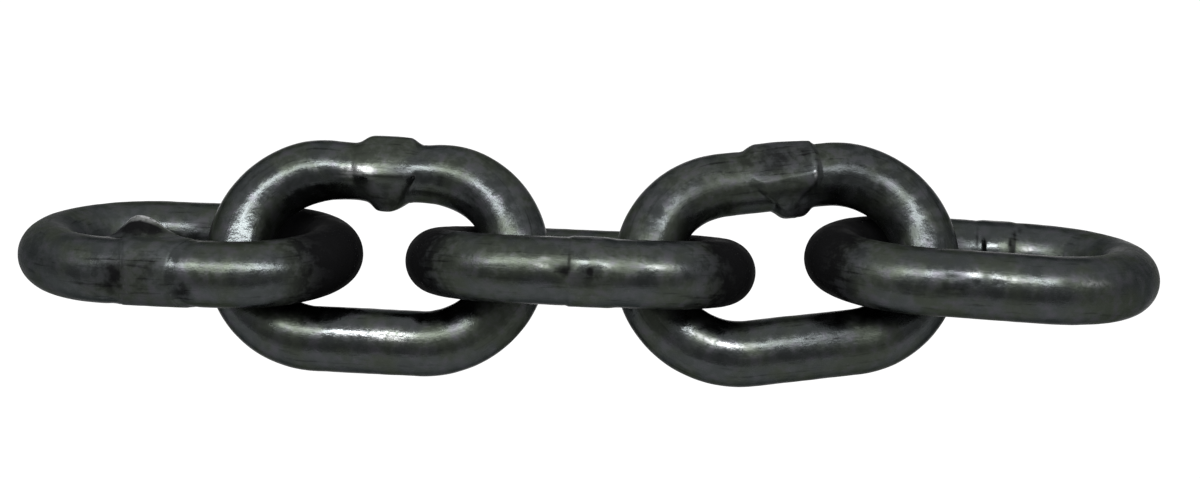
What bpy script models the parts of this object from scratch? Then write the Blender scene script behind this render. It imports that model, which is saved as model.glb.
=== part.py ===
# A short length of welded round-bar steel chain: five links hooked through each other,
# lying slack on a level floor. Metres, +Z up; X runs along the chain and the floor is Z = 0.
import math

import bmesh
import bpy
from mathutils import Euler, Matrix, Vector

# The bar and the shape of a link. A link's own frame has X along the link, Y across it
# and Z out of its plane, with the origin at its centre.
BAR_RADIUS = 0.005
BAR_BEVEL_RESOLUTION = 6
BAR_SIDES = 4 + 2 * BAR_BEVEL_RESOLUTION
LINK_REACH = 0.0216       # centre of the link to the bar's centreline at a crown
LINK_SPREAD = 0.01345     # centre of the link to the centreline of a straight side
CROWN_DEPTH = 0.0136      # how far a rounded end reaches along the link
CROWN_SEGMENTS = 15       # odd, so that one flat segment stands square at the crown
SIDE_SEGMENTS = 2

# Steel that has been through the furnace and oiled: dark, a little glossy.
STEEL_COLOUR = (0.045, 0.048, 0.050, 1.0)
STEEL_ROUGHNESS = 0.38

MERGE_DISTANCE = 0.000001
SLEEVE_BACK = 0.0049      # the sleeve stops just inside the bar on the knob's side
SHOULDER = 0.0011         # slope at each end of a weld's sleeve, along the bar
DROP_SINK = 0.0012        # the middle of the knob of weld metal lies this deep in the bar
DROP_SEGMENTS = 14
DROP_RINGS = 9
EDGE_SEGMENTS = 2

# How the links lie. Each rests one straight side flat on the floor and leans on the next
# link's crown, so its roll comes from the slack; yaw is its small turn on the floor. A link
# swings in its own plane about the crown bar that it hangs on; pivot moves that hinge along
# the link, off the bar's centreline, to keep the running gap even.
POSES = {
    "link_1": {"x": -0.06049, "y": 0.00068, "yaw": -1.5, "roll": -27.9, "pivot": 0.0},
    "link_2": {"x": -0.03135, "y": -0.00044, "yaw": -2.0, "roll": 33.4, "pivot": -0.001},
    "link_3": {"x": 0.00008, "y": -0.00276, "yaw": -1.8, "roll": -37.9, "pivot": 0.0},
    "link_4": {"x": 0.03145, "y": 0.00040, "yaw": 11.2, "roll": 31.9, "pivot": 0.0},
    "link_5": {"x": 0.06048, "y": 0.00067, "yaw": -4.1, "roll": -30.0, "pivot": -0.001},
}

# The butt weld in one straight side of each link. side is +1 for the side at +Y, and along is
# the weld's place on that side. turn swings the sleeve's flat about the bar, from outward
# towards +Z. The sleeve is its length, the rounding of its long edges and how proud of the
# bar its flat and its flanks stand. The knob is how proud it stands, its length along the
# bar and its width. The last link's weld was dressed flush.
WELDS = {
    "link_1": {"side": -1, "along": -0.0030, "turn": -60.0,
               "sleeve": (0.0098, 0.0036, 0.0003, 0.0003), "knob": (0.0026, 0.0086, 0.0066)},
    "link_2": {"side": 1, "along": 0.0009, "turn": 10.0,
               "sleeve": (0.0108, 0.0034, 0.0011, 0.0004), "knob": (0.0017, 0.0070, 0.0066)},
    "link_3": {"side": -1, "along": 0.0024, "turn": 0.0,
               "sleeve": (0.0090, 0.0036, 0.0003, 0.0003), "knob": (0.0014, 0.0064, 0.0062)},
    "link_4": {"side": 1, "along": 0.0022, "turn": 10.0,
               "sleeve": (0.0118, 0.0034, 0.0011, 0.0004), "knob": (0.0016, 0.0076, 0.0070)},
    "link_5": {"side": 1, "along": 0.0026, "turn": 0.0,
               "sleeve": None, "knob": (0.0011, 0.0064, 0.0060)},
}


def clear_scene():
    for thing in list(bpy.data.objects):
        bpy.data.objects.remove(thing)


def new_collection(name):
    group = bpy.data.collections.new(name)
    bpy.context.scene.collection.children.link(group)
    return group


def steel(name):
    material = bpy.data.materials.new(name)
    material.use_nodes = True
    shader = material.node_tree.nodes["Principled BSDF"]
    shader.inputs["Base Color"].default_value = STEEL_COLOUR
    shader.inputs["Roughness"].default_value = STEEL_ROUGHNESS
    shader.inputs["Metallic"].default_value = 1.0
    return material


def centreline():
    # Two half ellipses joined by straight sides, anticlockwise from the lower right corner.
    straight = LINK_REACH - CROWN_DEPTH
    points = []
    for end in (1, -1):
        for step in range(CROWN_SEGMENTS + 1):
            angle = math.pi * (step / CROWN_SEGMENTS - 0.5)
            points.append(Vector((end * (straight + CROWN_DEPTH * math.cos(angle)),
                                  end * LINK_SPREAD * math.sin(angle), 0.0)))
        for step in range(1, SIDE_SEGMENTS):
            share = 1.0 - 2.0 * step / SIDE_SEGMENTS
            points.append(Vector((end * straight * share, end * LINK_SPREAD, 0.0)))
    return points


def floor_tilt(roll):
    # Turns the bar's facets about its centreline so that one faces the floor exactly.
    facet = 360.0 / BAR_SIDES
    downward = 90.0 - abs(roll)
    return math.radians(downward - facet * (round(downward / facet - 0.5) + 0.5))


def bar_mesh(name, roll):
    curve = bpy.data.curves.new(name + "_bar", "CURVE")
    curve.dimensions = "3D"
    curve.bevel_depth = BAR_RADIUS
    curve.bevel_resolution = BAR_BEVEL_RESOLUTION
    points = centreline()
    spline = curve.splines.new("POLY")
    spline.points.add(len(points) - 1)
    for target, place in zip(spline.points, points):
        target.co = (*place, 1.0)
        target.tilt = floor_tilt(roll)
    spline.use_cyclic_u = True
    guide = bpy.data.objects.new(name + "_bar", curve)
    bpy.context.scene.collection.objects.link(guide)
    bpy.context.view_layer.update()
    evaluated = guide.evaluated_get(bpy.context.evaluated_depsgraph_get())
    mesh = bpy.data.meshes.new_from_object(evaluated)
    bpy.data.objects.remove(guide)
    shape = bmesh.new()
    shape.from_mesh(mesh)
    bmesh.ops.remove_doubles(shape, verts=shape.verts, dist=MERGE_DISTANCE)
    bmesh.ops.recalc_face_normals(shape, faces=shape.faces)
    shape.to_mesh(mesh)
    shape.free()
    mesh.name = name
    return mesh


def rounded_block(low, high, corner, shoulder):
    # A block whose edges along X are rounded by corner and whose end faces are sloped in
    # by shoulder.
    size = [top - bottom for bottom, top in zip(low, high)]
    middle = [(top + bottom) / 2 for bottom, top in zip(low, high)]
    shape = bmesh.new()
    bmesh.ops.create_cube(shape, size=1.0)
    bmesh.ops.scale(shape, vec=size, verts=shape.verts)
    long_edges = [edge for edge in shape.edges
                  if abs((edge.verts[0].co - edge.verts[1].co).x) > size[0] / 2]
    bmesh.ops.bevel(shape, geom=long_edges, offset=corner, segments=EDGE_SEGMENTS, profile=0.5,
                    affect="EDGES", clamp_overlap=True)
    end_edges = [edge for edge in shape.edges
                 if all(abs(abs(vertex.co.x) - size[0] / 2) < MERGE_DISTANCE for vertex in edge.verts)]
    bmesh.ops.bevel(shape, geom=end_edges, offset=shoulder, segments=1, affect="EDGES", clamp_overlap=True)
    bmesh.ops.recalc_face_normals(shape, faces=shape.faces)
    bmesh.ops.translate(shape, vec=middle, verts=shape.verts)
    return shape


def drop(proud, length, width):
    # An egg of metal half sunk in the bar, on the -Y side.
    shape = bmesh.new()
    bmesh.ops.create_uvsphere(shape, u_segments=DROP_SEGMENTS, v_segments=DROP_RINGS, radius=1.0)
    depth = proud + DROP_SINK
    bmesh.ops.scale(shape, vec=(length / 2, depth, width / 2), verts=shape.verts)
    bmesh.ops.translate(shape, vec=(0.0, depth - BAR_RADIUS - proud, 0.0), verts=shape.verts)
    return shape


def weld_frame(weld):
    # X stays along the bar and +Y is the direction that the sleeve's flat faces.
    outward = 0.0 if weld["side"] > 0 else 180.0
    swing = math.radians(outward + weld["side"] * weld["turn"])
    place = Vector((weld["along"], weld["side"] * LINK_SPREAD, 0.0))
    return Matrix.Translation(place) @ Matrix.Rotation(swing, 4, "X")


def weld_piece(name, shape, weld, to_object, group):
    mesh = bpy.data.meshes.new(name)
    shape.transform(weld_frame(weld))
    shape.to_mesh(mesh)
    shape.free()
    piece = bpy.data.objects.new(name, mesh)
    piece.matrix_world = to_object
    piece.hide_render = True
    piece.display_type = "WIRE"
    group.objects.link(piece)
    return piece


def add_weld(name, link, weld, to_object, group):
    # The sleeve is the upset metal around the joint, sheared off flat on one side; the knob
    # is the drop of it that is left opposite the flat.
    shapes = []
    if weld["sleeve"]:
        length, corner, flat_proud, flank_proud = weld["sleeve"]
        flank = BAR_RADIUS + flank_proud
        shapes.append(("sleeve", rounded_block((-length / 2, -SLEEVE_BACK, -flank),
                                               (length / 2, BAR_RADIUS + flat_proud, flank), corner, SHOULDER)))
    shapes.append(("knob", drop(*weld["knob"])))
    for kind, shape in shapes:
        piece = weld_piece(name + "_" + kind, shape, weld, to_object, group)
        union = link.modifiers.new(kind, "BOOLEAN")
        union.operation = "UNION"
        union.solver = "EXACT"
        union.object = piece


def link_matrix(pose):
    # The lowest facet of the low side lies at Z = 0.
    roll = math.radians(pose["roll"])
    facet_radius = BAR_RADIUS * math.cos(math.pi / BAR_SIDES)
    height = facet_radius + LINK_SPREAD * abs(math.sin(roll))
    turn = Euler((roll, 0.0, math.radians(pose["yaw"])), "XYZ").to_matrix().to_4x4()
    return Matrix.Translation((pose["x"], pose["y"], height)) @ turn


def hinge_place(parent_matrix, matrix, pivot):
    # Where the parent's crown bar passes through the link's own plane, moved by pivot.
    crown = parent_matrix @ Vector((LINK_REACH, 0.0, 0.0))
    bar_way = parent_matrix.to_3x3().col[1]
    normal = matrix.to_3x3().col[2]
    run = (matrix.translation - crown).dot(normal) / bar_way.dot(normal)
    return crown + run * bar_way + matrix.to_3x3() @ Vector((pivot, 0.0, 0.0))


def make_link(name, parent, parent_matrix, parts, cutters):
    # The object's origin is on the hinge that the link swings about, and its Z is the axis.
    pose = POSES[name]
    matrix = link_matrix(pose)
    hinge = hinge_place(parent_matrix, matrix, pose["pivot"]) if parent else matrix.translation
    frame = Matrix.Translation(hinge) @ matrix.to_3x3().to_4x4()
    mesh = bar_mesh(name, pose["roll"])
    mesh.transform(frame.inverted() @ matrix)
    mesh.materials.clear()
    mesh.materials.append(steel(name + "_steel"))
    link = bpy.data.objects.new(name, mesh)
    parts.objects.link(link)
    link.matrix_world = frame
    add_weld(name, link, WELDS[name], matrix, cutters)
    if parent:
        bpy.context.view_layer.update()
        link.parent = parent
        link.matrix_parent_inverse = parent.matrix_world.inverted()
    return link, matrix


def main():
    clear_scene()
    parts = new_collection("chain")
    cutters = new_collection("cutters")
    parent, parent_matrix = None, None
    for name in POSES:
        parent, parent_matrix = make_link(name, parent, parent_matrix, parts, cutters)
    bpy.context.view_layer.update()


main()
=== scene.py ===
import math

import bpy
import numpy as np
from mathutils import Matrix, Vector


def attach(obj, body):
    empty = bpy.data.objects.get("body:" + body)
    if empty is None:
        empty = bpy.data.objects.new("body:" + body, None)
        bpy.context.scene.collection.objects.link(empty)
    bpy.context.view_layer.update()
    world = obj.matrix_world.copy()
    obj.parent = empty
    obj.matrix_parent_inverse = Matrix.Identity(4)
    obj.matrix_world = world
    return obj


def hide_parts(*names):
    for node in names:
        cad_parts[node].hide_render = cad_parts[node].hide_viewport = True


# Five links of blackened round-bar chain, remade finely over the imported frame. Lengths are in metres,
# except where a note says millimetres, and angles are in degrees.
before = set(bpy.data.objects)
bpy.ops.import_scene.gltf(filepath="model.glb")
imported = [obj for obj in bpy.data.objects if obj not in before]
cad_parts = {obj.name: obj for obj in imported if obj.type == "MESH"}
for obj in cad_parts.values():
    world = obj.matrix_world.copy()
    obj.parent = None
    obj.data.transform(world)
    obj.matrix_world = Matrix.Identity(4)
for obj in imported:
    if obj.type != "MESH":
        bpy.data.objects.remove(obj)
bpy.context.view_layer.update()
mm = 0.001
print("frame loaded:", ", ".join(sorted(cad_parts)))

# The link that all five share, and how finely it is drawn
linkShape = {
    "barRadius": 0.00495,
    "reach": 0.02154,        # middle of the link to the bar's centreline at a crown
    "spread": 0.01345,       # middle of the link to the centreline of a straight side
    "crownDepth": 0.0136,    # how far a rounded end reaches along the link
    "floorFlat": 0.00002,    # height of the rubbed flat where the link bears on the floor
    "rings": 620,            # cross-sections round the link
    "sides": 152,            # points round the bar
    "weldCrowding": 3.2,     # how much closer the rings stand at the weld
    "weldSpan": 0.0065,      # and over what distance
    "measuringSteps": 6001,  # points at which the crowding is added up
}


def smoothStep(value, low, high):
    # 0 below low, 1 above high, and 3t^2 - 2t^3 between them
    share = np.clip((value - low) / (high - low), 0.0, 1.0)
    return share * share * (3.0 - 2.0 * share)


def angleFrom(angle, middle):
    # difference of two angles, brought into -180 to 180
    return (angle - middle + 180.0) % 360.0 - 180.0


def softLeast(first, second, rounding):
    # the lesser of two surfaces with the crease rounded: least - max(k - |difference|, 0)^2 / 4k
    overlap = np.maximum(rounding - np.abs(first - second), 0.0)
    return np.minimum(first, second) - overlap ** 2 / (4.0 * rounding)


def linkLengths():
    # the straight sides' half length, the arc length of a crown and that of the whole centreline; a crown
    # is half an ellipse, by pi / 2 * (3 (a + b) - sqrt((3 a + b) (a + 3 b)))
    straight = linkShape["reach"] - linkShape["crownDepth"]
    wide, deep = linkShape["spread"], linkShape["crownDepth"]
    crown = math.pi / 2 * (3 * (wide + deep) - math.sqrt((3 * wide + deep) * (wide + 3 * deep)))
    return straight, crown, 2 * crown + 4 * straight


def centreline(way):
    # way is the length travelled from the middle of the right crown, towards the far side. The bend's
    # angle turns only on the crowns and the slide changes only on the straight sides:
    # x = slide + depth * cos(angle), y = spread * sin(angle); outward is the ellipse's normal.
    straight, crown, total = linkLengths()
    stops = np.array([0.0, crown / 2, crown / 2 + 2 * straight, 1.5 * crown + 2 * straight,
                      1.5 * crown + 4 * straight, total])
    bend = np.interp(way, stops, np.radians([0.0, 90.0, 90.0, 270.0, 270.0, 360.0]))
    slide = np.interp(way, stops, straight * np.array([1.0, 1.0, -1.0, -1.0, 1.0, 1.0]))
    deep, wide = linkShape["crownDepth"], linkShape["spread"]
    middle = np.stack([slide + deep * np.cos(bend), wide * np.sin(bend), np.zeros_like(bend)], axis=-1)
    outward = np.stack([wide * np.cos(bend), deep * np.sin(bend), np.zeros_like(bend)], axis=-1)
    outward /= np.linalg.norm(outward, axis=-1, keepdims=True)
    return middle, outward, bend


def alongSide(way, side):
    # signed length along the bar, in millimetres and towards +X, from the middle of one straight side
    straight, crown, total = linkLengths()
    middle = crown / 2 + straight if side > 0 else 1.5 * crown + 3 * straight
    run = (way - middle + total / 2) % total - total / 2
    return -side * run / mm


def ringWays(form):
    # ring positions round the link, crowded at the weld: equal steps of the integral of
    # 1 + crowding * exp(-(distance to the weld / span)^2)
    fine = np.linspace(0.0, linkLengths()[2], linkShape["measuringSteps"])
    near = (alongSide(fine, form["side"]) - form["along"]) * mm / linkShape["weldSpan"]
    weight = 1.0 + linkShape["weldCrowding"] * np.exp(-near ** 2)
    heap = np.concatenate([[0.0], np.cumsum((weight[1:] + weight[:-1]) / 2)])
    steps = np.arange(linkShape["rings"]) / linkShape["rings"] * heap[-1]
    return np.interp(steps, heap, fine)


# The bar's slight waves: how many go round the link and round the bar, and their height in millimetres
barWaves = ((3, 1, 0.018), (7, 2, 0.014), (13, 1, 0.010), (19, 3, 0.008), (31, 2, 0.006), (43, 4, 0.005),
            (61, 3, 0.003))


def handUneven(way, angle, seed):
    # the waves added up, in millimetres: height * cos(waves along) * cos(waves round), each from a start
    # drawn at random; whole numbers of waves close round the link and round the bar
    draw = np.random.default_rng(seed)
    total = linkLengths()[2]
    waves = np.zeros(np.broadcast(way, angle).shape)
    for roundLink, roundBar, height in barWaves:
        start = draw.uniform(0.0, 2.0 * math.pi, 2)
        alongWave = np.cos(2 * math.pi * roundLink * way / total + start[0])
        waves += height * alongWave * np.cos(np.radians(roundBar * angle) + start[1])
    return waves


# The butt weld of each link, in millimetres and degrees. side is +1 for the straight side at +Y, and along
# is the weld's place on it. Angles go round the bar from outward, over the link's upper face, to inward
# at 180.
# swell: how far the upset metal stands out, outward and inward.
# half: half its length, outward and inward, and taper: the angles between which the one becomes the other.
# shoulders: how much of that half length slopes down, at the -X end, at the +X end and inward.
# flare: extra length at each end towards the bar's upper and lower face.
# ease: how much of each end the whole weld needs to rise from the bar.
# flats: sheared faces as (angle, distance from the bar's middle, slope along the bar, flatness), where
# flatness 1 is a plane and 0 is round, with edges rounded by crisp.
# knob: (angle, along, height, length towards -X and +X, width in degrees, squareness along and round).
# seams: ring marks as (place as a share of the half length, depth, width), raised where the depth is
# negative.
# slim: how much thinner the bar is on that side.  dull: how matt the weld is against the bar.
weldForms = {
    "link_1": {
        "side": -1, "along": -1.9, "swell": (0.14, 0.30), "half": (3.4, 4.2), "taper": (95, 172),
        "shoulders": (0.14, 0.18, 0.3), "flare": (1.2, 1.9), "ease": (0.05, 0.05), "crisp": 0.07,
        "flats": ((10, 5.04, 0.0, 0.7), (-70, 5.06, 0.0, 1.0), (84, 5.08, 0.0, 1.0)),
        "knob": (126, -3.3, 3.65, (3.5, 5.7), 15, (1.1, 2.0)),
        "seams": ((-1.0, -0.06, 0.22), (1.0, -0.06, 0.22), (-1.22, 0.06, 0.6), (1.2, 0.06, 0.5)),
        "slim": 0.0, "dull": 0.9,
    },
    "link_2": {
        "side": 1, "along": 0.45, "swell": (1.30, 1.15), "half": (6.1, 3.9), "taper": (104, 166),
        "shoulders": (0.55, 0.34, 0.85), "flare": (0.0, 0.0), "ease": (0.66, 0.42), "crisp": 0.16,
        "flats": ((2, 5.72, -0.17, 1.0), (84, 4.92, 0.0, 0.35), (-79, 4.84, 0.0, 1.0),
                  (145, 4.68, 0.0, 0.7), (-149, 4.90, 0.0, 1.0)),
        "knob": (186, 0.1, 0.80, (3.6, 3.2), 40, (1.1, 1.3)),
        "seams": ((0.95, -0.04, 0.20),),
        "slim": 0.55, "dull": -0.15,
    },
    "link_3": {
        "side": -1, "along": 2.5, "swell": (0.20, 0.20), "half": (2.9, 3.6), "taper": (95, 172),
        "shoulders": (0.25, 0.60, 0.3), "flare": (0.3, 1.2), "ease": (0.05, 0.3), "crisp": 0.06,
        "flats": ((-10, 5.06, 0.0, 1.0), (78, 5.12, 0.0, 1.0), (-84, 5.08, 0.0, 1.0)),
        "knob": (184, 0.2, 1.0, (3.0, 3.0), 24, (1.6, 1.6)),
        "seams": ((-1.0, 0.03, 0.35), (1.0, 0.02, 0.35)),
        "slim": 0.0, "dull": -0.1,
    },
    "link_4": {
        "side": 1, "along": 1.0, "swell": (1.0, 0.32), "half": (6.1, 1.9), "taper": (110, 160),
        "shoulders": (0.46, 0.26, 0.50), "flare": (0.0, 0.0), "ease": (0.24, 0.20), "crisp": 0.05,
        "flats": ((12, 5.70, -0.10, 1.0), (84, 5.04, 0.035, 0.75), (-73, 5.00, 0.0, 1.0),
                  (146, 4.96, 0.0, 1.0), (-150, 4.82, 0.0, 1.0), (-162, 4.78, 0.0, 1.0)),
        "knob": (192, 1.5, 1.34, (2.9, 2.7), 34, (2.4, 1.4)),
        "seams": ((0.90, -0.05, 0.20), (-0.98, 0.03, 0.3)),
        "slim": 0.12, "dull": 0.25,
    },
    "link_5": {
        "side": 1, "along": 3.4, "swell": (0.08, 0.26), "half": (3.2, 2.7), "taper": (95, 172),
        "shoulders": (0.4, 0.4, 0.4), "flare": (0.0, 0.0), "ease": (0.05, 0.05), "crisp": 0.06,
        "flats": ((0, 5.04, 0.0, 1.0), (88, 5.10, 0.0, 1.0), (-88, 5.04, 0.0, 1.0)),
        "knob": (172, 0.1, 0.45, (2.4, 2.4), 50, (2.0, 2.0)),
        "seams": ((-1.0, 0.03, 0.34), (1.0, 0.02, 0.34)),
        "slim": 0.0, "dull": 0.0,
    },
}

# What all the welds share
weldRules = {
    "slimReach": 9.5,        # millimetres over which the bar thins towards a weld
    "flareMiddle": 8.0,      # the angle at which a weld has no flare
    "flareSpread": 75.0,     # and how far from it the flare is whole
    "flareLimit": 1.5,
    "dome": 0.3,             # share of the swell that follows a dome along the bar
    "leastLean": 0.35,       # a flat face opens no further than where its cosine falls to this
    "knobFall": 1.4,         # how steeply a knob falls off along the bar
}


def upsetMetal(run, angle, form):
    # Half the weld's length at each angle: outward and inward lengths blended by the taper, plus the flare
    # by (angle / spread)^2. With it, how far the shoulders have risen there (0 to 1), by a smooth step from
    # the weld's end.
    taper = smoothStep(np.abs(angleFrom(angle, 0.0)), *form["taper"])
    aside = angleFrom(angle, weldRules["flareMiddle"]) / weldRules["flareSpread"]
    flare = np.where(run < 0, *form["flare"]) * np.clip(aside ** 2, 0.0, weldRules["flareLimit"])
    half = form["half"][0] * (1.0 - taper) + form["half"][1] * taper + flare
    left, right, inward = form["shoulders"]
    shoulder = np.where(run < 0, left, right) * (1.0 - taper) + inward * taper
    return half, smoothStep(1.0 - np.abs(run / half), 0.0, shoulder)


def knobHeight(run, angle, form):
    # height * exp(-(round / width)^2p - fall * (along / length)^2q)
    facing, spot, height, lengths, width, (squareAlong, squareRound) = form["knob"]
    aside = (angleFrom(angle, facing) / width) ** 2
    away = ((run - spot) / np.where(run < spot, *lengths)) ** 2
    return height * np.exp(-aside ** squareRound - weldRules["knobFall"] * away ** squareAlong)


def weldRadius(run, angle, form):
    # Radius of the bar at its weld, in millimetres, and how much of it is weld (0 to 1). The upset metal
    # is a dome along the bar, sheared off by flats: distance / cos(angle from the flat) ^ flatness.
    slimness = np.exp(-((run + form["along"]) / weldRules["slimReach"]) ** 4)
    bar = linkShape["barRadius"] / mm - form["slim"] * slimness
    outwardness = (1.0 + np.cos(np.radians(angle))) / 2
    swell = form["swell"][0] * outwardness + form["swell"][1] * (1.0 - outwardness)
    half, cover = upsetMetal(run, angle, form)
    place = run / half
    dome = np.sqrt(np.clip(1.0 - place ** 2, 0.0, 1.0))
    radius = bar + swell * cover * (1.0 - weldRules["dome"] + weldRules["dome"] * dome)
    for facing, distance, slope, flatness in form["flats"]:
        lean = np.maximum(np.cos(np.radians(angleFrom(angle, facing))), weldRules["leastLean"])
        flat = (distance + slope * run) / lean ** flatness
        radius = softLeast(radius, np.maximum(flat, bar + form["crisp"]), form["crisp"])
    rise = smoothStep(1.0 - np.abs(place), 0.0, np.where(run < 0, *form["ease"]))
    radius = bar + (radius - bar) * rise
    for spot, depth, width in form["seams"]:
        radius = radius - depth * np.exp(-((place - spot) * half / width) ** 2)
    knob = knobHeight(run, angle, form)
    return radius + knob, np.clip(cover + knob / form["knob"][2], 0.0, 1.0)


# Small marks that the bar carries, as (side, along, angle, depth, half length, half width), in millimetres
# but for the angle. A negative depth stands proud.
barMarks = {
    "link_1": (
        (-1, -4.9, 33, -0.10, 0.35, 0.30), (-1, -9.5, -20, 0.08, 2.0, 1.6), (-1, 2.6, -24, 0.10, 1.2, 1.3),
    ),
    "link_2": (
        (1, 9.6, 118, 0.10, 0.7, 0.6), (1, -6.6, 120, 0.05, 1.1, 0.5), (-1, 3.0, 88, 0.04, 1.2, 0.4),
        (-1, 5.0, 86, 0.04, 1.0, 0.4),
    ),
    "link_3": (
        (-1, 3.0, 4, 0.10, 0.42, 0.42), (-1, -0.6, 2, 0.08, 0.9, 0.8), (-1, -3.2, 14, 0.05, 0.9, 0.5),
        (-1, 3.2, 3, 0.05, 2.2, 1.7),
    ),
    "link_4": (
        (1, 9.8, 120, 0.06, 0.8, 0.5), (-1, 0.5, 92, 0.05, 0.9, 0.7),
    ),
    "link_5": (
        (-1, -5.0, 2, 0.14, 1.7, 0.45), (-1, -1.9, 14, 0.06, 0.7, 0.6), (-1, 1.2, 16, 0.05, 1.2, 0.5),
    ),
}

# Painted highlights and painted shade on the skin, as (side, along, angle, strength, half length, half
# width). Where the strength is above 0 they are painted highlights, lighter and smoother, and below 0 they
# are painted shade, darker and duller.
paintedLightMarks = {
    "link_1": (
        (-1, -6.35, 0, -0.62, 1.9, 3.4), (-1, -8.6, 22, -0.30, 3.0, 2.0), (-1, 4.1, -19, -0.55, 1.2, 1.9),
        (-1, 3.4, 8, -0.30, 1.3, 1.0), (-1, 3.6, 38, 0.10, 2.2, 0.30), (-1, -5.0, 113.5, -1.0, 6.0, 0.72),
        (-1, -4.6, 118, 2.8, 4.0, 0.19), (-1, -1.8, 18, -0.50, 3.4, 3.4), (1, -0.3, 154, -0.55, 3.2, 1.4),
    ),
    "link_2": (
        (1, -3.6, 119, 0.70, 2.2, 0.20), (1, -4.0, 112, 0.55, 1.9, 0.20), (1, -4.2, 103, 0.40, 1.8, 0.35),
        (1, 5.3, 112, 0.40, 0.4, 0.45), (1, 0.4, 124, 0.20, 2.4, 0.3), (1, 3.2, 107, -0.36, 2.2, 1.2),
        (1, -2.9, 105, 0.45, 2.2, 0.9), (1, 0.3, 152, -0.45, 4.0, 2.4), (1, -2.0, 62, -0.17, 20.0, 2.6),
        (-1, -1.4, 89, 0.22, 3.6, 0.8), (-1, 4.6, 88, 0.32, 2.6, 0.9),
    ),
    "link_3": (
        (-1, -0.1, 6, -0.30, 0.9, 2.0), (-1, 3.2, 3, -0.28, 2.0, 1.5), (-1, 3.0, 4, -0.9, 0.36, 0.34),
        (-1, 2.2, 21, 0.14, 1.6, 0.35), (-1, 5.2, 15, 0.22, 1.2, 0.45), (-1, -1.4, 8, -0.35, 1.2, 0.9),
        (-1, -3.4, 25, 0.22, 1.1, 0.30), (-1, -3.9, 12, 0.22, 1.2, 0.30), (-1, 0.0, 44, -0.12, 16.0, 2.2),
        (-1, 8.0, 17, -0.14, 1.6, 0.9), (-1, 11.6, 17, 0.16, 2.0, 0.45),
    ),
    "link_4": (
        (1, 5.55, 107, 0.70, 0.34, 0.34), (1, 5.5, 92, 0.42, 0.24, 2.2), (1, -2.6, 114, 0.20, 1.6, 0.22),
        (1, 3.4, 172, -0.7, 3.0, 1.8), (1, -12.0, 95, -0.28, 6.5, 1.3), (1, 12.0, 95, -0.26, 6.0, 1.3),
        (1, 0.4, 84, -0.40, 6.4, 3.4), (1, 2.0, 60, -0.26, 20.0, 2.6), (-1, -13.0, 88, 0.34, 4.0, 0.5),
        (-1, 0.0, 88, -0.20, 5.0, 1.0), (-1, 6.5, 88, -0.36, 4.4, 1.0),
    ),
    "link_5": (
        (-1, -5.4, 24, -0.5, 1.6, 0.5), (-1, -1.9, 30, 0.25, 2.0, 0.5), (-1, -0.7, 22, -0.35, 0.45, 0.9),
        (-1, 2.9, 24, 0.16, 2.2, 0.4), (-1, 10.2, 24, -0.32, 1.0, 1.0), (-1, 13.4, 24, 0.30, 1.5, 0.45),
        (1, 7.9, 99, -0.45, 0.7, 1.0), (1, 6.7, 117, -0.55, 0.5, 1.1), (1, 5.9, 135, -0.65, 0.36, 1.1),
        (1, 5.2, 152, -0.75, 0.32, 0.8), (1, 0.2, 140, -0.50, 0.30, 2.0), (1, 2.4, 158, 0.08, 1.4, 0.35),
        (1, 8.1, 160, 0.35, 1.1, 0.40), (1, -3.0, 156, -0.4, 2.4, 1.4),
    ),
}


def markSum(marks, way, angle):
    # the marks added up over the skin, each strength * exp(-(along / length)^2 - (round / width)^2)
    total = np.zeros(np.broadcast(way, angle).shape)
    for side, along, facing, strength, length, width in marks:
        run = alongSide(way, side) - along
        across = np.radians(angleFrom(angle, facing)) * linkShape["barRadius"] / mm
        total += strength * np.exp(-(run / length) ** 2 - (across / width) ** 2)
    return total


# How the finish lies on the links. The first table holds a pair for each link, for the -X and the +X crown:
# the painted shade there, near black where an odd link's crown sits inside its neighbour and faint
# elsewhere.
skinShape = {
    "shadedEnds": {"link_1": (0.05, 0.95), "link_2": (0.05, 0.15), "link_3": (0.95, 0.95),
                  "link_4": (0.10, 0.15), "link_5": (0.95, 0.05)},
    "dullness": {"link_1": (0.0, 0.8, 0.2), "link_2": (-0.06, 0.0, 0.1), "link_3": (0.03, 0.3, 0.2),
                 "link_4": (0.06, 0.0, 0.0), "link_5": (0.10, 0.3, 0.45)},    # whole link, -X and +X crown
    "nearShade": (0.38, 0.93),      # where the painted shade starts and is whole, as the cosine of the crown's bend
    "farShade": (0.0, 0.42),        # the half behind, shaded by the neighbour link's bar, gets painted shade over more of its bend
    "dullCrown": (0.0, 0.7),       # the same for dullness
    # how strongly a bright mark paints its highlight
    "highlightStrength": 0.58,
    "deepPit": 0.12,               # millimetres at which a pit is as dark as it gets
}


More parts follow.
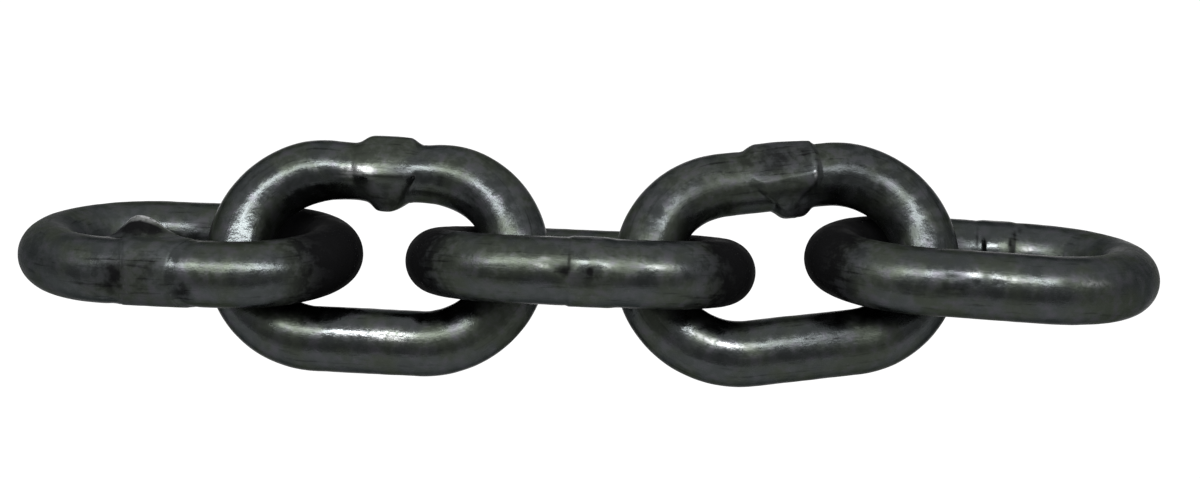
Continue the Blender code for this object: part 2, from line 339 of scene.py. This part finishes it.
def skinLayers(name, way, angle, weld, pits, paintedLight):
    # What the finish reads at each point. ringSpot and barLift are four numbers that place it on a ring, so
    # that a pattern can follow the bar and still close. Painted shade and dullness grow from nothing on the
    # straight sides to a crown's own value by the smooth step of |cos(bend)|, and the dark marks add painted
    # shade and dullness to both.
    bend = centreline(way[:, 0])[2]
    endWise = np.cos(bend)
    farHalf = np.sin(bend) > 0
    shadeFrom = np.where(farHalf, skinShape["farShade"][0], skinShape["nearShade"][0])
    shadeTo = np.where(farHalf, skinShape["farShade"][1], skinShape["nearShade"][1])
    shadeReach = smoothStep(np.abs(endWise), shadeFrom, shadeTo)
    # painted shade at the crowns, where the neighbour links shade them
    sootAndShade = np.where(endWise < 0, *skinShape["shadedEnds"][name]) * shadeReach
    # the dark marks are painted shade
    paintedMarkShade = -np.minimum(paintedLight, 0.0)
    link, *ends = skinShape["dullness"][name]
    dull = link + np.where(endWise < 0, *ends) * smoothStep(np.abs(endWise), *skinShape["dullCrown"])
    dull = dull[:, None] * (1.0 - weld) + weldForms[name]["dull"] * weld + paintedMarkShade
    lap = 2 * math.pi * way / linkLengths()[2]
    turn = np.radians(angle)
    ringSpot = np.stack(np.broadcast_arrays(np.cos(lap), np.sin(lap), np.cos(turn)), axis=-1)
    return {
        "dullPart": dull.reshape(-1),
        # painted highlight along the bright marks
        "paintedHighlightPart": np.clip(paintedLight * skinShape["highlightStrength"], 0.0, 1.0).reshape(-1),
        "ringSpot": ringSpot.reshape(-1, 3),
        "barLift": np.broadcast_to(np.sin(turn), weld.shape).reshape(-1),
        "weldPart": weld.reshape(-1),
        "paintedShadePart": np.clip(sootAndShade[:, None] + paintedMarkShade, 0.0, 1.0).reshape(-1),
        "pitPart": np.clip(pits / skinShape["deepPit"], 0.0, 1.0).reshape(-1),
    }


# How the links lie: middle, turn on the floor and roll
linkPlaces = {
    "link_1": {"x": -0.06049, "y": 0.00068, "yaw": -1.5, "roll": -27.9},
    "link_2": {"x": -0.03135, "y": -0.00044, "yaw": -2.0, "roll": 33.4},
    "link_3": {"x": 0.00008, "y": -0.00276, "yaw": -1.8, "roll": -37.9},
    "link_4": {"x": 0.03145, "y": 0.00040, "yaw": 11.2, "roll": 31.9},
    "link_5": {"x": 0.06048, "y": 0.00067, "yaw": -4.1, "roll": -30.0},
}


def linkMatrix(place):
    # rolled, then turned, and raised by radius + spread * |sin(roll)|, which rests its low side on the floor
    roll = math.radians(place["roll"])
    height = linkShape["barRadius"] + linkShape["spread"] * abs(math.sin(roll))
    turned = Matrix.Rotation(math.radians(place["yaw"]), 4, "Z") @ Matrix.Rotation(roll, 4, "X")
    return Matrix.Translation((place["x"], place["y"], height)) @ turned


def linkPoints(way, angle, radius, place):
    # centreline + radius * (cos(angle) * outward + sin(angle) * the link's normal), laid in its place and
    # flattened at the floor
    middle, outward, bend = centreline(way[:, 0])
    turn = np.radians(angle)
    normal = np.array([0.0, 0.0, 1.0])
    around = np.cos(turn)[..., None] * outward[:, None, :] + np.sin(turn)[..., None] * normal
    points = (middle[:, None, :] + radius[..., None] * around).reshape(-1, 3)
    toWorld = np.array(linkMatrix(place))
    points = points @ toWorld[:3, :3].T + toWorld[:3, 3]
    points[:, 2] = np.maximum(points[:, 2], linkShape["floorFlat"])
    return points


def ringFaces(rings, sides):
    # quads of a grid that closes on itself both ways, turned to face outward
    ring, side = np.meshgrid(np.arange(rings), np.arange(sides), indexing="ij")
    nextRing, nextSide = (ring + 1) % rings, (side + 1) % sides
    corners = (ring * sides + side, nextRing * sides + side, nextRing * sides + nextSide,
               ring * sides + nextSide)
    return np.stack(corners, axis=-1).reshape(-1, 4)


def meshFromGrid(name, points, faces, layers):
    # the points and quads as a mesh, with a number or three stored on each point for each layer
    mesh = bpy.data.meshes.new(name)
    mesh.vertices.add(len(points))
    mesh.vertices.foreach_set("co", points.astype(np.float32).ravel())
    mesh.loops.add(faces.size)
    mesh.loops.foreach_set("vertex_index", faces.astype(np.int32).ravel())
    mesh.polygons.add(len(faces))
    mesh.polygons.foreach_set("loop_start", np.arange(0, faces.size, 4, dtype=np.int32))
    for label, values in layers.items():
        kind, field = ("FLOAT_VECTOR", "vector") if values.ndim == 2 else ("FLOAT", "value")
        layer = mesh.attributes.new(label, kind, "POINT")
        layer.data.foreach_set(field, values.astype(np.float32).ravel())
    mesh.update(calc_edges=True)
    mesh.validate()
    mesh.shade_smooth()
    return mesh


def makeLink(name, place, form, seed):
    # radius(way, angle) = weld and bar + waves - marks, carried along the centreline
    rings, sides = linkShape["rings"], linkShape["sides"]
    way = ringWays(form)[:, None]
    angle = (np.arange(sides) * 360.0 / sides)[None, :]
    run = alongSide(way, form["side"]) - form["along"]
    radius, weld = weldRadius(run, angle, form)
    pits = markSum(barMarks[name], way, angle)
    # painted highlights and painted shade from the skin marks
    paintedLight = markSum(paintedLightMarks[name], way, angle)
    radius = (radius + handUneven(way, angle, seed) - pits) * mm
    points = linkPoints(way, angle, radius, place)
    layers = skinLayers(name, way, angle, weld, pits, paintedLight)
    mesh = meshFromGrid(name + "_steel", points, ringFaces(rings, sides), layers)
    link = bpy.data.objects.new(name + "_forged", mesh)
    bpy.context.scene.collection.objects.link(link)
    print("made", link.name, "with", 2 * rings * sides, "triangles")
    return link


# Where a colour Mix node keeps its sockets
mixSockets = {"factor": 0, "first": 6, "second": 7, "result": 2}


class Strand:
    # One socket of a node tree. Python arithmetic on it adds Math nodes.
    def __init__(self, tree, socket=None):
        self.tree = tree
        self.socket = socket

    def node(self, kind, settings, sockets, output=0):
        # any other node: its type, its settings, then the values or links of its sockets by name or number
        made = self.tree.nodes.new(kind)
        for key, value in settings.items():
            setattr(made, key, value)
        for label, value in sockets.items():
            if isinstance(value, Strand):
                self.tree.links.new(value.socket, made.inputs[label])
            else:
                made.inputs[label].default_value = value
        return Strand(self.tree, made.outputs[output])

    def math(self, operation, first, second):
        return self.node("ShaderNodeMath", {"operation": operation}, {0: first, 1: second})

    def __add__(self, other):
        return self.math("ADD", self, other)

    def __radd__(self, other):
        return self.math("ADD", other, self)

    def __sub__(self, other):
        return self.math("SUBTRACT", self, other)

    def __rsub__(self, other):
        return self.math("SUBTRACT", other, self)

    def __mul__(self, other):
        return self.math("MULTIPLY", self, other)

    def __rmul__(self, other):
        return self.math("MULTIPLY", other, self)

    def between(self, low, high):
        # 0 at low and 1 at high, smoothly, whichever is the larger
        return self.node("ShaderNodeMapRange", {"interpolation_type": "SMOOTHSTEP"},
                         {"Value": self, "From Min": low, "From Max": high}, "Result")

    def mix(self, first, second):
        # one colour where this is 0, the other where it is 1
        sockets = {mixSockets["factor"]: self}
        for label, value in (("first", first), ("second", second)):
            sockets[mixSockets[label]] = value if isinstance(value, Strand) else (*value, 1.0)
        return self.node("ShaderNodeMix", {"data_type": "RGBA"}, sockets, mixSockets["result"])

    def feed(self, socket):
        self.tree.links.new(self.socket, socket)


# Scale-blackened, oiled steel, in linear colours. A pattern's two or three numbers are where it starts to
# show, where it is whole, and how much it then adds.
steelLook = {
    "grey": (0.0312, 0.0346, 0.0350),
    "green": (0.0302, 0.0346, 0.0280),
    "violet": (0.0400, 0.0388, 0.0450),
    # the darkest colour: sooty lines and clouds, and the painted shade at the crowns and under the dark
    # marks
    "sootAndShade": (0.0032, 0.0032, 0.0034),
    "bare": (0.070, 0.071, 0.070),
    # the painted highlight's colour, along the bright marks
    "highlightColour": (0.45, 0.45, 0.46),
    "edgeTint": (0.42, 0.42, 0.42, 1.0),
    "patch": (150.0, 3.0, 0.55),         # noises: waves per metre, detail and roughness
    "cloud": (480.0, 4.0, 0.6),
    "speck": (1500.0, 3.0, 0.6),
    "grain": (3600.0, 2.0, 0.6),
    "drawnLine": (1.0, 5.0, 0.65),       # waves per unit of the ring spot, once that is stretched
    "ringStretch": (3.0, 3.0, 9.0),      # least along the bar, so the lines are long
    "liftStretch": 9.0,
    "greenPatch": (0.40, 0.62),
    "violetCloud": (0.48, 0.72, 0.75),
    "sootyLine": (0.52, 0.70, 0.30),
    "sootyCloud": (0.60, 0.40, 0.22),
    # pits darker in colour by their depth
    "pitDarkening": 0.4,
    "bareSpeck": (0.62, 0.76, 0.25),
    "bareWeld": 0.02,
    "highlightSpeck": (0.25, 0.60),
    "roughness": 0.15,
    "roughPatch": (0.35, 0.65, 0.17),
    "roughCloud": (0.35, 0.65, 0.08),
    "roughLine": (0.45, 0.70, 0.05),
    "roughDull": 0.30,
    "smoothHighlight": 0.20,
    "lineRelief": 0.30,
    "cloudRelief": 0.9,
    "speckRelief": 0.24,
    "grainRelief": 0.08,
    "relief": {"Strength": 0.8, "Distance": 0.00010},
    "shadeOverMetal": 0.92,               # the painted shade hides the metal
    "coatShine": 0.0,                    # and has no shine of its own
}


def blackenedSteel():
    # Grey, with greenish and violet patches. Soot and painted shade lie over them, as the sum of sooty lines
    # and clouds, painted shade at the crowns and under the dark marks, and darkening in pits, and over that
    # come bare metal in specks and painted highlights along the bright marks.
    look = steelLook
    material = bpy.data.materials.new("blackened_steel")
    material.use_nodes = True
    shader = material.node_tree.nodes["Principled BSDF"].inputs
    start = Strand(material.node_tree)

    def named(label, output="Fac"):
        return start.node("ShaderNodeAttribute", {"attribute_name": label}, {}, output)

    def noise(label, spot, settings, **more):
        scale, detail, roughness = look[label]
        sockets = {"Vector": spot, "Scale": scale, "Detail": detail, "Roughness": roughness}
        return start.node("ShaderNodeTexNoise", settings, {**sockets, **more})

    def shown(pattern, label):
        low, high, amount = look[label]
        return pattern.between(low, high) * amount

    # crown carries the painted shade at the crowns and under the dark marks
    weld, crown, pit = named("weldPart"), named("paintedShadePart"), named("pitPart")
    # rub carries the painted highlight along the bright marks
    dull, paintedHighlight = named("dullPart"), named("paintedHighlightPart")
    place = start.node("ShaderNodeTexCoord", {}, {}, "Object")
    patch, cloud, speck, grain = (noise(label, place, {}) for label in ("patch", "cloud", "speck", "grain"))
    stretched = start.node("ShaderNodeVectorMath", {"operation": "MULTIPLY"},
                           {0: named("ringSpot", "Vector"), 1: look["ringStretch"]})
    lift = named("barLift") * look["liftStretch"]
    line = noise("drawnLine", stretched, {"noise_dimensions": "4D"}, W=lift)

    colour = patch.between(*look["greenPatch"]).mix(look["grey"], look["green"])
    colour = shown(cloud, "violetCloud").mix(colour, look["violet"])
    # soot in lines and clouds, painted shade at the crowns and dark marks, and darker pits
    sootAndShade = shown(line, "sootyLine") + shown(cloud, "sootyCloud") + crown + pit * look["pitDarkening"]
    colour = sootAndShade.between(0.0, 1.0).mix(colour, look["sootAndShade"])
    bare = (shown(speck, "bareSpeck") + weld * look["bareWeld"]) * (1.0 - crown)
    colour = bare.mix(colour, look["bare"])
    # painted highlight along the bright marks
    colour = (paintedHighlight * speck.between(*look["highlightSpeck"])).mix(colour, look["highlightColour"])
    colour.feed(shader["Base Color"])

    rough = (look["roughness"] + shown(patch, "roughPatch") + shown(cloud, "roughCloud")
             + shown(line, "roughLine") + dull * look["roughDull"] - paintedHighlight * look["smoothHighlight"])
    rough.feed(shader["Roughness"])
    height = (line * look["lineRelief"] + cloud * look["cloudRelief"] + speck * look["speckRelief"]
              + grain * look["grainRelief"])
    start.node("ShaderNodeBump", {}, {**look["relief"], "Height": height}).feed(shader["Normal"])
    # the painted shade also takes the metal's reflection away
    metal = 1.0 - crown * look["shadeOverMetal"]
    metal.feed(shader["Metallic"])
    shader["Specular IOR Level"].default_value = look["coatShine"]
    shader["Specular Tint"].default_value = look["edgeTint"]
    return material


# A light table with an even sky over it. The camera looks past the sheet, at the world under the horizon,
# so links that swing lower than the floor still show.
stageSetting = {
    "floorHalf": 3.0,
    "floorColour": (0.30, 0.30, 0.30, 1.0),
    "floorRoughness": 0.9,
    "floorShine": 0.1,
    "floorLight": (1.0, 1.0, 1.0, 1.0),
    "floorGlow": 0.74,
    "horizon": (0.50, 0.50, 0.50),
    "sky": (1.36, 1.36, 1.36),
    "below": (0.95, 0.95, 0.95),     # white paper, as in the photograph
    "skyLean": (0.0, 0.35, 1.0),     # the sky brightens upwards and to the back
    "skyRange": (0.05, 0.9),
    "belowRange": (-0.02, -0.08),
    "strength": 1.15,
}


def paleFloor():
    # one large square sheet just under the links
    stage = stageSetting
    half = stage["floorHalf"]
    corners = [(-half, -half, 0.0), (half, -half, 0.0), (half, half, 0.0), (-half, half, 0.0)]
    mesh = bpy.data.meshes.new("floor")
    mesh.from_pydata(corners, [], [(0, 1, 2, 3)])
    floor = bpy.data.objects.new("floor", mesh)
    bpy.context.scene.collection.objects.link(floor)
    material = bpy.data.materials.new("floor_paper")
    material.use_nodes = True
    shader = material.node_tree.nodes["Principled BSDF"].inputs
    shader["Base Color"].default_value = stage["floorColour"]
    shader["Roughness"].default_value = stage["floorRoughness"]
    shader["Specular IOR Level"].default_value = stage["floorShine"]
    shader["Emission Color"].default_value = stage["floorLight"]
    shader["Emission Strength"].default_value = stage["floorGlow"]
    mesh.materials.append(material)
    floor.visible_camera = False


def softWorld():
    # brightness follows the direction's height + 0.35 * depth, and it is white under the horizon
    stage = stageSetting
    world = bpy.data.worlds.new("studio")
    world.use_nodes = True
    background = world.node_tree.nodes["Background"].inputs
    start = Strand(world.node_tree)
    facing = start.node("ShaderNodeTexCoord", {}, {}, "Generated")

    def towards(direction):
        return start.node("ShaderNodeVectorMath", {"operation": "DOT_PRODUCT"}, {0: facing, 1: direction},
                          "Value")

    colour = towards(stage["skyLean"]).between(*stage["skyRange"]).mix(stage["horizon"], stage["sky"])
    under = towards((0.0, 0.0, 1.0)).between(*stage["belowRange"])
    under.mix(colour, stage["below"]).feed(background["Color"])
    background["Strength"].default_value = stage["strength"]
    bpy.context.scene.world = world
    bpy.context.scene.view_settings.view_transform = "Standard"


# Lamps: where they are, what they look at, width and height, and watts
lamps = {
    "key": {"at": (0.0, -0.085, 0.215), "to": (0.0, -0.004, 0.012), "size": (0.34, 0.030), "watts": 1.30},
}


def softLamp(name, setting):
    # a glowing rectangle, turned to face its target
    data = bpy.data.lights.new(name, "AREA")
    data.shape = "RECTANGLE"
    data.size, data.size_y = setting["size"]
    data.energy = setting["watts"]
    lamp = bpy.data.objects.new(name, data)
    lamp.location = setting["at"]
    lamp.rotation_mode = "QUATERNION"
    lamp.rotation_quaternion = (Vector(setting["to"]) - Vector(setting["at"])).to_track_quat("-Z", "Y")
    lamp.visible_camera = False
    bpy.context.scene.collection.objects.link(lamp)


# The photograph's view: its width and the focal length in pixels, the sensor's width in millimetres
cameraSetting = {
    "pictureWidth": 1200.0,
    "focalPixels": 1877.0,
    "sensor": 36.0,
    "target": (0.00246, 0.0075, 0.0099),
    "distance": 0.294,
    "elevation": 40.5,
    "azimuth": -3.95,
    "tilt": -1.32,
    "clip": (0.01, 20.0),
}


def photographCamera():
    # back points from the target to the camera, and the picture is turned by tilt about it
    setting = cameraSetting
    elevation, azimuth, tilt = (math.radians(setting[key]) for key in ("elevation", "azimuth", "tilt"))
    back = Vector((-math.sin(azimuth) * math.cos(elevation), -math.cos(azimuth) * math.cos(elevation),
                   math.sin(elevation)))
    right = Vector((math.cos(azimuth), -math.sin(azimuth), 0.0))
    up = back.cross(right)
    across = math.cos(tilt) * right + math.sin(tilt) * up
    upward = math.cos(tilt) * up - math.sin(tilt) * right
    data = bpy.data.cameras.new("camera")
    data.sensor_width = setting["sensor"]
    data.lens = setting["focalPixels"] / setting["pictureWidth"] * setting["sensor"]
    data.clip_start, data.clip_end = setting["clip"]
    camera = bpy.data.objects.new("camera", data)
    axes = Matrix((across, upward, back)).transposed().to_4x4()
    camera.matrix_world = Matrix.Translation(Vector(setting["target"]) + back * setting["distance"]) @ axes
    bpy.context.scene.collection.objects.link(camera)
    bpy.context.scene.camera = camera


steel = blackenedSteel()
print("steel finish ready")
for seed, (name, place) in enumerate(linkPlaces.items(), start=1):
    link = makeLink(name, place, weldForms[name], seed)
    link.data.materials.append(steel)
    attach(link, name)
    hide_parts(name)
print("links placed")

paleFloor()
softWorld()
for name, setting in lamps.items():
    softLamp(name, setting)
photographCamera()
print("floor, lamps and camera ready")
